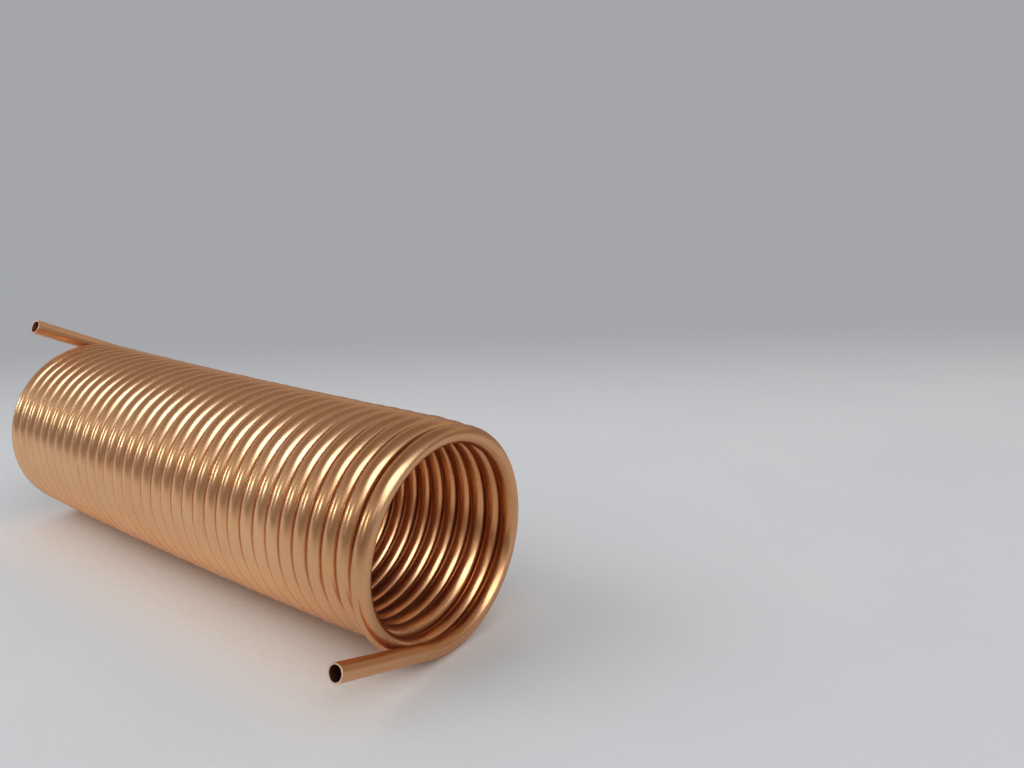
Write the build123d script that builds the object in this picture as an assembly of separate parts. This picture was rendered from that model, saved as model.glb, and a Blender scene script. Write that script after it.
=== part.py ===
from build123d import *
import math
import os

# Single-layer coil of soft copper tube, lying on its side.
# Millimetres, +Z up, +X along the coil's axis towards the turn that stands apart.

# Tube stock
TUBE_OD = 8.0
TUBE_WALL = 0.8
END_BREAK = 0.15  # the saw burr taken off the outer edge of each open end

# Winding
COIL_BORE = 83.0
TURNS = 35
TURN_PITCH = 8.26
RIDGE_PROUD = 0.05  # a turn's ridge stands this far outside the tube that runs out of it
FIRST_TURN_GAP = 3.6  # how much further the first turn stands from its neighbour

# Straight ends, which leave the winding as tangents
NEAR_END_LENGTH = 56.0
NEAR_END_ANGLE = -16.0  # place round the coil, from its lowest point towards +Y
FAR_END_LENGTH = 52.0
FAR_END_ANGLE = 153.6

# A turn's section is a regular octagon round the tube
RIDGE_SIDES = 8

tube_r = TUBE_OD / 2
tube_bore_r = tube_r - TUBE_WALL
ridge_r = tube_r + RIDGE_PROUD
turn_r = COIL_BORE / 2 + ridge_r
crest_r = turn_r + ridge_r
ridge_half_flat = ridge_r * math.tan(math.pi / RIDGE_SIDES)
ridge_slope = math.tan(2 * math.pi / RIDGE_SIDES)


def turn_x(index):
    """Place of a turn's centre along the axis."""
    if index == 0:
        return 0.0
    return -FIRST_TURN_GAP - index * TURN_PITCH


def crest(x):
    """The flat on a turn's crest, as its two corners from +X to -X."""
    return [(x + ridge_half_flat, crest_r), (x - ridge_half_flat, crest_r)]


def groove_bottom(x, next_x):
    """Foot of the groove between two turns, halfway between them."""
    half_opening = (x - next_x) / 2 - ridge_half_flat
    return ((x + next_x) / 2, crest_r - half_opening * ridge_slope)


def end_face(x, side):
    """Corners of an end turn's section on the coil's end, from its crest to the bore."""
    return [
        (x + side * ridge_r, turn_r + ridge_half_flat),
        (x + side * ridge_r, turn_r - ridge_half_flat),
        (x + side * ridge_half_flat, COIL_BORE / 2),
    ]


def winding():
    """All the turns as one turned body: ridged outside, plain bore, a turn's section on each end."""
    places = [turn_x(index) for index in range(TURNS)]
    outline = crest(places[0])
    for x, next_x in zip(places, places[1:]):
        outline.append(groove_bottom(x, next_x))
        outline += crest(next_x)
    outline += end_face(places[-1], -1)
    outline += reversed(end_face(places[0], 1))
    with BuildPart() as body:
        with BuildSketch(Plane.XZ):
            with BuildLine():
                Polyline(*outline, close=True)
            make_face()
        revolve(axis=Axis.X)
    return body.part


def end_plane(x, angle, direction):
    """Section plane where a straight end starts, its normal pointing along the tube."""
    turn = math.radians(angle)
    start = (x, turn_r * math.sin(turn), -turn_r * math.cos(turn))
    tangent = (0, direction * math.cos(turn), direction * math.sin(turn))
    return Plane(origin=start, x_dir=(1, 0, 0), z_dir=tangent)


def straight_end(plane, length):
    """One straight tube end, open at its tip."""
    with BuildPart() as end:
        with BuildSketch(plane):
            Circle(tube_r)
        extrude(amount=length)
        tip = end.faces().sort_by(Axis(plane.origin, plane.z_dir))[-1]
        chamfer(tip.edges(), END_BREAK)
    return end.part


def end_bore(plane, length):
    """The tube's bore along one straight end."""
    with BuildPart() as bore:
        with BuildSketch(plane):
            Circle(tube_bore_r)
        extrude(amount=length)
    return bore.part


near_plane = end_plane(turn_x(0), NEAR_END_ANGLE, -1)
far_plane = end_plane(turn_x(TURNS - 1), FAR_END_ANGLE, 1)

coil = winding()
coil += straight_end(near_plane, NEAR_END_LENGTH)
coil += straight_end(far_plane, FAR_END_LENGTH)
coil -= end_bore(near_plane, NEAR_END_LENGTH)
coil -= end_bore(far_plane, FAR_END_LENGTH)

# The origin is the middle of the coil's footprint, on the surface it lies on
box = coil.bounding_box()
coil = coil.moved(Location((-box.center().X, -box.center().Y, -box.min.Z)))

os.makedirs("parts", exist_ok=True)
export_step(coil, "parts/copper_tube.step")

moved = coil.bounding_box()
print("size", round(moved.size.X, 2), round(moved.size.Y, 2), round(moved.size.Z, 2))
print("solids", len(coil.solids()), "volume", round(coil.volume))
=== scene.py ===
import math

import bpy
import numpy as np
from mathutils import Euler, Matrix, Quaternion, Vector


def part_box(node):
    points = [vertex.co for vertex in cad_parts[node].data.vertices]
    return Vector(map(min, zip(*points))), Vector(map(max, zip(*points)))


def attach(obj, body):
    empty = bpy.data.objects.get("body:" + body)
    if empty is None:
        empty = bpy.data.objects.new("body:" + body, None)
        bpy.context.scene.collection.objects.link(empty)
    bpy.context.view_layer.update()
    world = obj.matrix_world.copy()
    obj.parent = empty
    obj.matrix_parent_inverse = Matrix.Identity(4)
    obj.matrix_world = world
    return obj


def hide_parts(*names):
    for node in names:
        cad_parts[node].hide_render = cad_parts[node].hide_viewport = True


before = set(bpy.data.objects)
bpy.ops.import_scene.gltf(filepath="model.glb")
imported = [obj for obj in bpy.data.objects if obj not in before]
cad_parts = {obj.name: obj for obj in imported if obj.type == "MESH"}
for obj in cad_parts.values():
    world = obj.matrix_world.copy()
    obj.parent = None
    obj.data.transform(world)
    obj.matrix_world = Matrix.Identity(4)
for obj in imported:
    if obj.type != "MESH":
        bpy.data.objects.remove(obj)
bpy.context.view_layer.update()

# A coil of soft copper tube lying on its side, drawn as one hollow tube wound in a helix.
# Metres, +Z up, +X along the winding's axis towards the turn that stands apart.
MM = 0.001

# The tube and its winding, as in the part's source
TUBE_R = 4.0 * MM
TUBE_WALL = 0.8 * MM
RIDGE_R = 4.05 * MM  # the tube's outer radius where it is bent into turns
CREST_R = 49.6 * MM  # the winding's outer radius
TURN_PITCH = 8.26 * MM
FULL_TURNS = 34
NEAR_END_ANGLE = -16.0  # place round the coil in degrees, from its lowest point towards +Y
FAR_END_ANGLE = 153.6
NEAR_END_LENGTH = 56.0 * MM
FAR_END_LENGTH = 52.0 * MM

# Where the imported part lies
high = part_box("copper_tube")[1]
NEAR_X = high.x - RIDGE_R
AXIS_Y = high.y - CREST_R
AXIS_Z = CREST_R
FLOOR_Z = 0.0

# How the hand-wound coil departs from an even one
WINDING_R = 45.34 * MM  # from the axis to the tube's middle, with room left for the oval
PITCH_FIT = 0.9995
NEAR_SHIFT = 0.09 * MM
NEAR_LIFT = 3.94 * MM  # the wider first turn holds its neighbours this far off the floor
FAR_LIFT = 0.34 * MM
SAG = 0.9 * MM
BOW = 1.8 * MM
FIRST_TURN_END = 1.19  # in turns from the lowest point
FIRST_TURN_PASSAGE = 0.5

# Forms round a turn, in mm: each term is its number of lobes, its cosine part and its sine part
OVAL = [(2, 0.455, 0.28)]
FIRST_TURN_WIDER = [(0, 0.87, 0.0), (1, 2.31, 0.0), (2, 0.29, 0.1)]
FIRST_TURN_APART = [(1, -1.1, 0.08)]

# Unevenness from turn to turn, in mm: each term is its height, its radians a turn and its start
UNEVEN_PITCH = [(0.09, 2.32, 0.6), (0.04, 3.83, 2.0)]
UNEVEN_RADIUS = [(0.05, 1.45, 0.0), (0.05, 23.2, 1.0), (0.03, 41.3, 0.0)]

# The straight ends run on from the winding with this share of its direction in X, Y and Z
NEAR_END_WAY = (0.3, 1.0, 1.0)
FAR_END_WAY = (0.1, 1.0, 0.945)
NEAR_END_TRIM = 0.45 * MM
FAR_END_TRIM = 0.6 * MM

# How finely the tube is drawn
SIDES = 24
BORE_SIDES = 12
STEPS_PER_TURN = 88
END_STEPS = 10  # along each straight end
WIDENING_STEPS = 24
BORE_STRIDE = 4  # inside the winding, the bore has one ring to this many outside
SMALL_ANGLE = 1e-4
RIM_BREAK = 0.15 * MM
BORE_BREAK = 0.12 * MM
SHARP_EDGE = 32.0  # in degrees

# Copper's tones, with painted shade and reflected light for the winding's inside and its grooves
COPPER = (0.865, 0.46, 0.205)
PALE_COPPER = (0.89, 0.505, 0.245)
HANDLED_COPPER = (0.74, 0.33, 0.155)
# Darker towards the near turns
NEAR_TURNS_COPPER = (0.63, 0.30, 0.10)
# Painted shade and inter-reflection: darker and redder on the tube's side towards the winding's axis
INNER_SHADE_COPPER = (0.68, 0.28, 0.11)
FIRST_TURN_COPPER = (0.58, 0.25, 0.085)
# Painted shade in the grooves between neighbouring turns
GROOVE_SHADE_COPPER = (0.36, 0.17, 0.08)
SAWN_COPPER = (0.84, 0.62, 0.47)
EDGE_TINT = (0.85, 0.62, 0.48)

# Where the tones begin and end, in metres along the tube from its near tip
NEAR_TURNS_FADES = (0.1, 2.6)
FIRST_TURN_FADES = (0.10, 0.45)
GROOVES_BEGIN = (0.28, 0.36)

# The same from the nearer tip
SAWN_FADES = (0.03 * MM, 0.11 * MM)
STRAIGHT_FADES = (45 * MM, 100 * MM)

# The same from the tube's middle, towards the winding's axis, and towards the next turn, squared, where
# the painted shade inside the winding and in the grooves lies
INNER_SIDE = (0.4 * MM, 3.4 * MM)
GROOVE_SIDE = (11.5 * MM * MM, 15.8 * MM * MM)

# Marks in the copper, as their number in a metre along, out from and across the tube
DRAWING_MARKS = (25.0, 2600.0, 2600.0)
HANDLING_MARKS = (60.0, 260.0, 260.0)
CLOUDS_PER_METRE = 22.0

# The copper's gloss, where it is clean, and how much each kind of mark dulls it
CLEAN_ROUGHNESS = 0.205
DRAWN_DULLS = 0.05
HANDLING_DULLS = 0.06
STRAIGHT_DULLS = 0.09
GROOVE_DULLS = 0.15
SAWN_DULLS = 0.25

# The floor
FLOOR_REACH = 6.0
FLOOR_GREY = (0.645, 0.662, 0.672)
FLOOR_PALE = (0.703, 0.716, 0.717)
FLOOR_BESIDE_COPPER = (0.86, 0.795, 0.73)
FLOOR_AHEAD = (0.34, 0.28, 0.23)
BEADS_PER_METRE = 260.0

# Where the floor's tones begin and end, in metres from the middle of the coil
BESIDE_COPPER_X = (0.11, 0.17)
BESIDE_COPPER_Y = (0.03, 0.085)
AHEAD_DARKENS = (0.18, 0.60)
FAR_BEHIND = (0.14, 0.62)
FAR_ROUND = (0.6, 2.2)

# The room, behind the coil, in front of it and above it
ROOM_BACK = (0.375, 0.38, 0.395)
ROOM_WARM = (0.365, 0.305, 0.262)  # behind the near turns, as their tops reflect it
ROOM_FRONT = (0.20, 0.145, 0.11)
ROOM_HAZE = (0.49, 0.46, 0.41)
CEILING_BACK = (0.275, 0.205, 0.17)
CEILING_FRONT = (0.33, 0.265, 0.205)
BLACK = (0.0, 0.0, 0.0)

# Where the room's tones begin and end, as parts of a way of length 1
AHEAD_X, AHEAD_Y = 0.75, -0.66  # the way towards the room's front
FRONT_BEGINS = (-0.35, 0.6)
WARM_ENDS = (-0.93, -0.72)
CEILING_BEGINS = (0.05, 0.35)
HAZE_BEGINS = (0.22, 0.42)
HAZE_ENDS = (0.50, 0.72)

# The lamps' colours
WINDOW_BLUE = (0.62, 0.73, 0.92)
GLOW_BLUE = (0.60, 0.82, 1.0)
LAMP_BLUE = (0.73, 0.885, 1.0)
LAMP_WARM = (1.0, 0.96, 0.86)
CEILING_BLUE = (0.74, 0.86, 1.0)
FILL_PALE = (0.90, 0.94, 1.0)
FILL_RIGHT_PALE = (0.94, 0.95, 1.0)
LAMPS_AIM = 0.10  # from the first turn into the winding

# The camera: its place from the first turn's middle, and its angles in degrees
CAMERA_X = 211.5 * MM
CAMERA_Y = -248.96 * MM
CAMERA_Z = 150.52 * MM
CAMERA_DOWN = 14.389
CAMERA_ROUND = 35.753
CAMERA_LENS = 29.478
CAMERA_SENSOR = 36.0


class Socket:
    """A node's output, which takes part in sums as a number does."""

    def __init__(self, tree, link):
        self.tree = tree
        self.link = link

    def __add__(self, other):
        return self.tree.math("ADD", self, other)

    def __radd__(self, other):
        return self.tree.math("ADD", other, self)

    def __sub__(self, other):
        return self.tree.math("SUBTRACT", self, other)

    def __rsub__(self, other):
        return self.tree.math("SUBTRACT", other, self)

    def __mul__(self, other):
        return self.tree.math("MULTIPLY", self, other)

    def __rmul__(self, other):
        return self.tree.math("MULTIPLY", other, self)

    def __truediv__(self, other):
        return self.tree.math("DIVIDE", self, other)

    def __rtruediv__(self, other):
        return self.tree.math("DIVIDE", other, self)

    def __neg__(self):
        return self * -1.0

    def __abs__(self):
        return self.tree.math("ABSOLUTE", self)

    def between(self, start, end):
        """0 below start and 1 above end, with a smooth passage."""
        return self.tree.node("ShaderNodeMapRange", {"interpolation_type": "SMOOTHSTEP"}, {
            "Value": self, "From Min": start, "From Max": end}).out()


class Node:
    """A placed node, with its outputs by name."""

    def __init__(self, tree, made):
        self.tree = tree
        self.made = made

    def out(self, name=0):
        return Socket(self.tree, self.made.outputs[name])


class Tree:
    """A node tree that is written as calls."""

    def __init__(self, owner):
        owner.use_nodes = True
        self.nodes = owner.node_tree.nodes
        self.links = owner.node_tree.links
        self.nodes.clear()

    def node(self, kind, settings=None, inputs=None):
        """Any node, from its type, its settings, and the values or links of its sockets."""
        made = self.nodes.new(kind)
        for name, value in (settings or {}).items():
            setattr(made, name, value)
        for name, value in (inputs or {}).items():
            socket = made.inputs[name]
            if isinstance(value, Socket):
                self.links.new(value.link, socket)
            elif socket.type == "RGBA":
                socket.default_value = (*value, 1.0)
            else:
                socket.default_value = value
        return Node(self, made)

    def math(self, operation, *values):
        return self.node("ShaderNodeMath", {"operation": operation}, dict(enumerate(values))).out()

    def attribute(self, name, output):
        return self.node("ShaderNodeAttribute", {"attribute_name": name}).out(output)

    def noise(self, vector, scale, detail):
        return self.node("ShaderNodeTexNoise", inputs={
            "Vector": vector, "Scale": scale, "Detail": detail}).out()

    def scaled(self, vector, factors):
        return self.node("ShaderNodeVectorMath", {"operation": "MULTIPLY"}, {0: vector, 1: factors}).out()

    def parts(self, vector):
        """A vector's three numbers."""
        split = self.node("ShaderNodeSeparateXYZ", inputs={0: vector})
        return [split.out(axis) for axis in "XYZ"]

    def blend(self, factor, first, second):
        """The first colour where factor is 0 and the second where it is 1."""
        return self.node("ShaderNodeMix", {"data_type": "RGBA"}, {0: factor, 6: first, 7: second}).out(2)

    def not_seen(self):
        """0 for what the camera sees directly and 1 for light and reflections."""
        return 1.0 - self.node("ShaderNodeLightPath").out("Is Camera Ray")


def eased(value):
    """0 to 1 with level ends."""
    value = np.clip(value, 0.0, 1.0)
    return value * value * (3.0 - 2.0 * value)


def unit(vectors):
    """The same directions at length 1."""
    return vectors / np.linalg.norm(vectors, axis=-1, keepdims=True)


def form_round_turn(angle, terms):
    """Height in mm of a form round a turn, from its terms."""
    return sum(
        cosine * np.cos(lobes * angle) + sine * np.sin(lobes * angle) for lobes, cosine, sine in terms)


def unevenness(turns, terms):
    """Height in mm of what differs from turn to turn, from its terms."""
    return sum(height * np.sin(rate * turns + start) for height, rate, start in terms)


def winding_line(angle):
    """The tube's middle at an angle round the winding, in radians from its lowest point towards +Y."""
    turns = angle / (2 * math.pi)
    along = np.clip(turns / FULL_TURNS, 0.0, 1.0)
    droop = 4.0 * along * (1.0 - along)
    first_turn = 1.0 - eased((turns - FIRST_TURN_END) / FIRST_TURN_PASSAGE)
    apart = form_round_turn(angle, FIRST_TURN_APART) * first_turn + unevenness(turns, UNEVEN_PITCH)
    wider = form_round_turn(angle, FIRST_TURN_WIDER) * first_turn + unevenness(turns, UNEVEN_RADIUS)
    radius = WINDING_R + (form_round_turn(angle, OVAL) + wider) * MM
    lift = NEAR_LIFT * (1.0 - along) + FAR_LIFT * along - SAG * droop
    x = NEAR_X + NEAR_SHIFT - TURN_PITCH * PITCH_FIT * turns + apart * MM
    y = AXIS_Y - BOW * droop + radius * np.sin(angle)
    z = AXIS_Z + lift - radius * np.cos(angle)
    return np.stack([x, y, z], axis=-1)


def tube_path():
    """Points along the whole tube, with its direction and the direction away from the winding's axis."""
    start = math.radians(NEAR_END_ANGLE)
    end = math.radians(360.0 * FULL_TURNS + FAR_END_ANGLE)
    steps = round((end - start) / (2 * math.pi) * STEPS_PER_TURN)
    angle = np.linspace(start, end, steps + 1)
    wound = winding_line(angle)
    along = unit(winding_line(angle + SMALL_ANGLE) - winding_line(angle - SMALL_ANGLE))
    outward = np.stack([0 * angle, np.sin(angle), -np.cos(angle)], axis=-1)
    outward = unit(outward - (outward * along).sum(axis=1, keepdims=True) * along)
    near_way = unit(along[0] * NEAR_END_WAY)
    far_way = unit(along[-1] * FAR_END_WAY)
    near_run = np.linspace(NEAR_END_LENGTH - NEAR_END_TRIM, 0, END_STEPS + 1)[:-1, None]
    far_run = np.linspace(0, FAR_END_LENGTH - FAR_END_TRIM, END_STEPS + 1)[1:, None]
    points = np.vstack([wound[0] - near_run * near_way, wound, wound[-1] + far_run * far_way])
    rows = (END_STEPS, 1)
    ways = np.vstack([np.tile(near_way, rows), along, np.tile(far_way, rows)])
    outs = np.vstack([np.tile(outward[0], rows), outward, np.tile(outward[-1], rows)])
    return points, ways, outs


def outer_radius(at, last):
    """The bent tube is a little wider than its straight ends, as a turn's ridge is in the source."""
    past_straight = min(at, last - at) - END_STEPS
    return TUBE_R + (RIDGE_R - TUBE_R) * float(eased(past_straight / WIDENING_STEPS))


def build_coil():
    """The whole tube as one closed mesh, with its bore open from end to end."""
    points, ways, outs = tube_path()
    last = len(points) - 1
    length = np.concatenate([[0.0], np.cumsum(np.linalg.norm(np.diff(points, axis=0), axis=1))])
    vertices, faces, tube_place, from_tip = [], [], [], []

    def add_ring(at, radius, sides, shift=0.0):
        """A ring of points at one step of the path, moved along the tube by shift."""
        first = len(vertices)
        turn = np.arange(sides) * (2 * math.pi / sides)
        out, across = radius * np.cos(turn), radius * np.sin(turn)
        side = np.cross(ways[at], outs[at])
        vertices.extend(points[at] + ways[at] * shift + out[:, None] * outs[at] + across[:, None] * side)
        along = length[at] + shift
        tube_place.extend((along, *place) for place in zip(out, across))
        from_tip.extend([min(along, length[-1] - along)] * sides)
        return first, sides

    def join(ring, other_ring, flip=False):
        """Quads between two rings, or triangles where the other has half the sides."""
        (first, sides), (other, other_sides) = ring, other_ring
        for k in range(other_sides):
            here, there = other + k, other + (k + 1) % other_sides
            if sides == other_sides:
                made = [(first + k, first + (k + 1) % sides, there, here)]
            else:
                edge = [first + (2 * k + step) % sides for step in range(3)]
                made = [(edge[0], edge[1], here), (edge[1], there, here), (edge[1], edge[2], there)]
            faces.extend(face[::-1] if flip else face for face in made)

    bore_r = TUBE_R - TUBE_WALL
    outside = [add_ring(0, TUBE_R - RIM_BREAK, SIDES), add_ring(0, TUBE_R, SIDES, RIM_BREAK)]
    outside += [add_ring(at, outer_radius(at, last), SIDES) for at in range(1, last)]
    outside += [add_ring(last, TUBE_R, SIDES, -RIM_BREAK), add_ring(last, TUBE_R - RIM_BREAK, SIDES)]
    near_bore = [add_ring(0, bore_r + BORE_BREAK, SIDES), add_ring(0, bore_r, SIDES, BORE_BREAK)]
    near_bore += [add_ring(at, bore_r, SIDES) for at in (END_STEPS // 2, END_STEPS)]
    far_bore = [add_ring(last - at, bore_r, SIDES) for at in (END_STEPS, END_STEPS // 2)]
    far_bore += [add_ring(last, bore_r, SIDES, -BORE_BREAK), add_ring(last, bore_r + BORE_BREAK, SIDES)]
    wound_steps = range(END_STEPS + 2, last - END_STEPS - 1, BORE_STRIDE)
    wound_bore = [add_ring(at, bore_r, BORE_SIDES) for at in wound_steps]

    for before, after in zip(outside, outside[1:]):
        join(after, before)
    for run in (near_bore, far_bore, wound_bore):
        for before, after in zip(run, run[1:]):
            join(before, after)
    join(near_bore[-1], wound_bore[0])
    join(far_bore[0], wound_bore[-1], flip=True)
    join(outside[0], near_bore[0])
    join(outside[-1], far_bore[-1], flip=True)

    mesh = bpy.data.meshes.new("copper_coil")
    mesh.from_pydata([tuple(vertex) for vertex in vertices], [], faces)
    mesh.validate()
    place = mesh.attributes.new("tube_place", "FLOAT_VECTOR", "POINT")
    place.data.foreach_set("vector", np.array(tube_place, dtype=np.float32).ravel())
    mesh.attributes.new("from_tip", "FLOAT", "POINT").data.foreach_set("value", from_tip)
    mesh.shade_smooth()
    mesh.set_sharp_from_angle(angle=math.radians(SHARP_EDGE))
    coil = bpy.data.objects.new("copper_coil", mesh)
    bpy.context.scene.collection.objects.link(coil)
    return coil


def copper_finish():
    """Bright drawn copper, with painted shade and inter-reflection making it redder inside the winding,
    and painted shade making it darker in its grooves.
    """
    material = bpy.data.materials.new("bright_copper")
    tree = Tree(material)
    place = tree.attribute("tube_place", "Vector")
    from_tip = tree.attribute("from_tip", "Fac")
    along, outward, across = tree.parts(place)
    cloud = tree.noise(tree.node("ShaderNodeTexCoord").out("Object"), CLOUDS_PER_METRE, 3.0)
    drawn = tree.noise(tree.scaled(place, DRAWING_MARKS), 1.0, 3.0)
    handled = tree.noise(tree.scaled(place, HANDLING_MARKS), 1.0, 3.0)
    # Darker towards the near turns, fading out along the tube
    near_turns_dark = 1.0 - along.between(*NEAR_TURNS_FADES)
    first_turn = 1.0 - along.between(*FIRST_TURN_FADES)
    # Painted shade and inter-reflection on the tube's side towards the winding's axis
    inner_shade = (-outward).between(*INNER_SIDE)
    # Painted shade in the grooves between neighbouring turns; the same mask also dulls the gloss and thins
    # the coat there
    groove_shade = (across * across).between(*GROOVE_SIDE) * along.between(*GROOVES_BEGIN)
    straight = 1.0 - from_tip.between(*STRAIGHT_FADES)
    sawn = 1.0 - from_tip.between(*SAWN_FADES)

    colour = tree.blend(cloud.between(0.35, 0.68), COPPER, PALE_COPPER)
    colour = tree.blend(handled.between(0.52, 0.8) * 0.35, colour, HANDLED_COPPER)
    colour = tree.blend(near_turns_dark * 0.55, colour, NEAR_TURNS_COPPER)
    colour = tree.blend(inner_shade * 0.5, colour, INNER_SHADE_COPPER)
    colour = tree.blend(first_turn * 0.5, colour, FIRST_TURN_COPPER)
    colour = tree.blend(groove_shade * 0.75, colour, GROOVE_SHADE_COPPER)
    colour = tree.blend(sawn, colour, SAWN_COPPER)
    rough = CLEAN_ROUGHNESS + drawn * DRAWN_DULLS + handled.between(0.45, 0.8) * HANDLING_DULLS
    rough = rough + straight * STRAIGHT_DULLS + sawn * SAWN_DULLS + groove_shade * GROOVE_DULLS
    bump = tree.node("ShaderNodeBump", inputs={
        "Strength": 0.03, "Distance": 0.05 * MM, "Height": drawn + handled * 1.6})
    shader = tree.node("ShaderNodeBsdfPrincipled", inputs={
        "Base Color": colour, "Metallic": 1.0, "Roughness": rough, "Normal": bump.out(),
        "Specular Tint": EDGE_TINT, "Coat Weight": 1.0 - inner_shade * 0.5 - groove_shade * 0.85,
        "Coat IOR": 1.6, "Coat Roughness": 0.42})
    tree.node("ShaderNodeOutputMaterial", inputs={"Surface": shader.out()})
    return material


def floor_finish():
    """A pale beaded floor that turns into the room's own tone far away, so that no edge shows."""
    material = bpy.data.materials.new("pale_floor")
    tree = Tree(material)
    not_seen = tree.not_seen()
    place = tree.node("ShaderNodeTexCoord").out("Object")
    x, y, _ = tree.parts(place)
    beads = tree.node("ShaderNodeTexVoronoi", inputs={
        "Vector": place, "Scale": BEADS_PER_METRE}).out("Distance")
    cloud = tree.noise(place, 9.0, 4.0)
    away = tree.node("ShaderNodeVectorMath", {"operation": "LENGTH"}, {0: place}).out("Value")
    ahead = x * AHEAD_X + y * AHEAD_Y

    # The copper throws warm light on the floor beside it
    beside = (1.0 - abs(y).between(*BESIDE_COPPER_Y)) * (1.0 - abs(x).between(*BESIDE_COPPER_X))
    colour = tree.blend(cloud, FLOOR_GREY, FLOOR_PALE)
    colour = tree.blend(beside, colour, FLOOR_BESIDE_COPPER)
    colour = tree.blend(ahead.between(*AHEAD_DARKENS) * not_seen, colour, FLOOR_AHEAD)
    far = 1.0 - (1.0 - (-ahead).between(*FAR_BEHIND)) * (1.0 - away.between(*FAR_ROUND))
    colour = tree.blend(far, colour, BLACK)
    room = tree.blend((ahead / away).between(*FRONT_BEGINS) * not_seen, ROOM_BACK, ROOM_FRONT)
    glow = tree.blend(far, BLACK, room)
    bump = tree.node("ShaderNodeBump", inputs={
        "Strength": 0.25, "Distance": 0.6 * MM, "Height": beads + cloud})
    shader = tree.node("ShaderNodeBsdfPrincipled", inputs={
        "Base Color": colour, "Roughness": 0.55, "Specular IOR Level": 0.0, "Normal": bump.out(),
        "Emission Color": glow, "Emission Strength": 1.0})
    tree.node("ShaderNodeOutputMaterial", inputs={"Surface": shader.out()})
    return material


def add_floor():
    corners = [(-1, -1), (1, -1), (1, 1), (-1, 1)]
    mesh = bpy.data.meshes.new("floor")
    mesh.from_pydata([(x * FLOOR_REACH, y * FLOOR_REACH, FLOOR_Z) for x, y in corners], [], [(0, 1, 2, 3)])
    mesh.materials.append(floor_finish())
    floor = bpy.data.objects.new("floor", mesh)
    bpy.context.scene.collection.objects.link(floor)


def add_room():
    """The room's soft tones round the coil, plain grey where the camera sees them."""
    world = bpy.data.worlds.new("room")
    bpy.context.scene.world = world
    tree = Tree(world)
    not_seen = tree.not_seen()
    x, y, z = tree.parts(tree.node("ShaderNodeTexCoord").out("Generated"))
    front = (x * AHEAD_X + y * AHEAD_Y).between(*FRONT_BEGINS) * not_seen
    walls = tree.blend(x.between(*WARM_ENDS) * not_seen, ROOM_BACK, ROOM_WARM)
    walls = tree.blend(front, walls, ROOM_FRONT)
    haze = z.between(*HAZE_BEGINS) * (1.0 - z.between(*HAZE_ENDS)) * not_seen
    ceiling = tree.blend(front, CEILING_BACK, CEILING_FRONT)
    ceiling = tree.blend(haze, ceiling, ROOM_HAZE)
    room = tree.blend(z.between(*CEILING_BEGINS) * not_seen, walls, ceiling)
    background = tree.node("ShaderNodeBackground", inputs={"Color": room, "Strength": 1.0})
    tree.node("ShaderNodeOutputWorld", inputs={"Surface": background.out()})


def add_lamp(name, azimuth, elevation, distance, size, radiance, colour, shape="RECTANGLE", roll=0.0):
    """A soft lamp, placed by its direction from the coil's near end; azimuth 0 is towards -Y."""
    a, e = math.radians(azimuth), math.radians(elevation)
    way = Vector((math.sin(a) * math.cos(e), -math.cos(a) * math.cos(e), math.sin(e)))
    target = Vector((NEAR_X - LAMPS_AIM, AXIS_Y, AXIS_Z))
    width, height = size
    area = width * height * (math.pi / 4 if shape == "ELLIPSE" else 1.0)
    data = bpy.data.lights.new(name, "AREA")
    data.shape = shape
    data.size = width
    data.size_y = height
    data.energy = radiance * math.pi * area
    data.color = colour
    lamp = bpy.data.objects.new(name, data)
    lamp.location = target + way * distance
    lamp.rotation_mode = "QUATERNION"
    lamp.rotation_quaternion = Quaternion(way, math.radians(roll)) @ way.to_track_quat("Z", "Y")
    bpy.context.scene.collection.objects.link(lamp)
    return lamp


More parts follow.
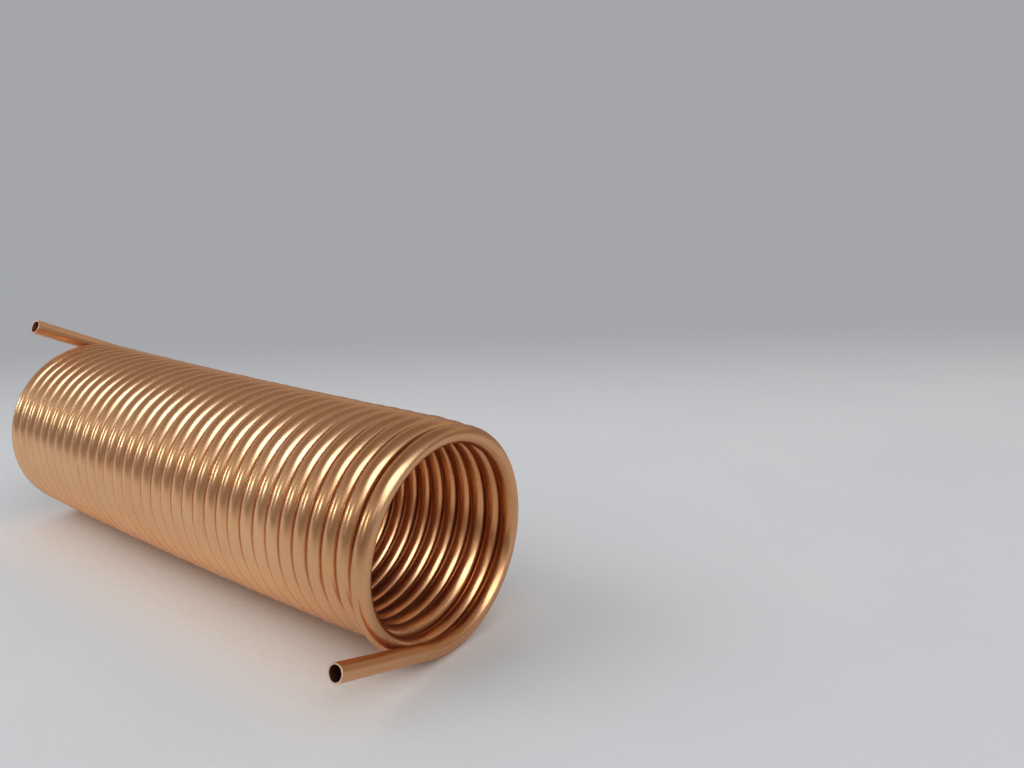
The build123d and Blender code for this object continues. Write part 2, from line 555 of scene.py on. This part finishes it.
def add_lamps():
    """Lamps that only reflect in the copper, and lamps that only light it and the floor."""
    reflected = [
        add_lamp("window", 79, 31, 4.0, (5.8, 1.8), 3.9, WINDOW_BLUE, "ELLIPSE", -50.0),
        add_lamp("window_glow", 79, 31, 4.2, (7.6, 3.0), 0.85, GLOW_BLUE, "ELLIPSE", -47.0),
        add_lamp("lamp_front", -8, 22, 4.0, (0.70, 0.46), 9.6, LAMP_BLUE),
        add_lamp("lamp_side", -61, 11, 4.0, (0.70, 0.46), 9.6, LAMP_BLUE),
        add_lamp("lamp_back", 48, 20, 4.0, (0.60, 0.50), 1.5, LAMP_WARM),
    ]
    for lamp in reflected:
        lamp.visible_diffuse = False
    lighting = [
        add_lamp("ceiling", 0, 89, 2.4, (5.0, 5.0), 0.62, CEILING_BLUE),
        add_lamp("fill", -45, 38, 3.0, (2.0, 2.0), 2.3, FILL_PALE),
        add_lamp("fill_right", 75, 38, 3.0, (2.0, 2.0), 1.4, FILL_RIGHT_PALE),
    ]
    for lamp in lighting:
        lamp.visible_glossy = False


def add_camera():
    """The camera keeps its place round the winding's axis, which lies a little lower at its far end."""
    data = bpy.data.cameras.new("camera")
    data.sensor_width = CAMERA_SENSOR
    data.lens = CAMERA_LENS
    camera = bpy.data.objects.new("camera", data)
    winding_length = FULL_TURNS * TURN_PITCH
    lean = Quaternion((0.0, 1.0, 0.0), -math.atan((NEAR_LIFT - FAR_LIFT) / winding_length))
    far_axis = Vector((NEAR_X - winding_length, AXIS_Y, AXIS_Z))
    seat = Vector((NEAR_X + CAMERA_X, AXIS_Y + CAMERA_Y, AXIS_Z + CAMERA_Z))
    aim = Euler((math.radians(90.0 - CAMERA_DOWN), 0.0, math.radians(CAMERA_ROUND)))
    camera.location = far_axis + lean @ (seat - far_axis) + Vector((0.0, 0.0, FAR_LIFT))
    camera.rotation_mode = "QUATERNION"
    camera.rotation_quaternion = lean @ aim.to_quaternion()
    bpy.context.scene.collection.objects.link(camera)
    bpy.context.scene.camera = camera


coil = build_coil()
coil.data.materials.append(copper_finish())
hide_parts("copper_tube")
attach(coil, "root")

add_floor()
add_room()
add_lamps()
add_camera()

look = bpy.context.scene.view_settings
look.view_transform = "Standard"
look.look = "None"
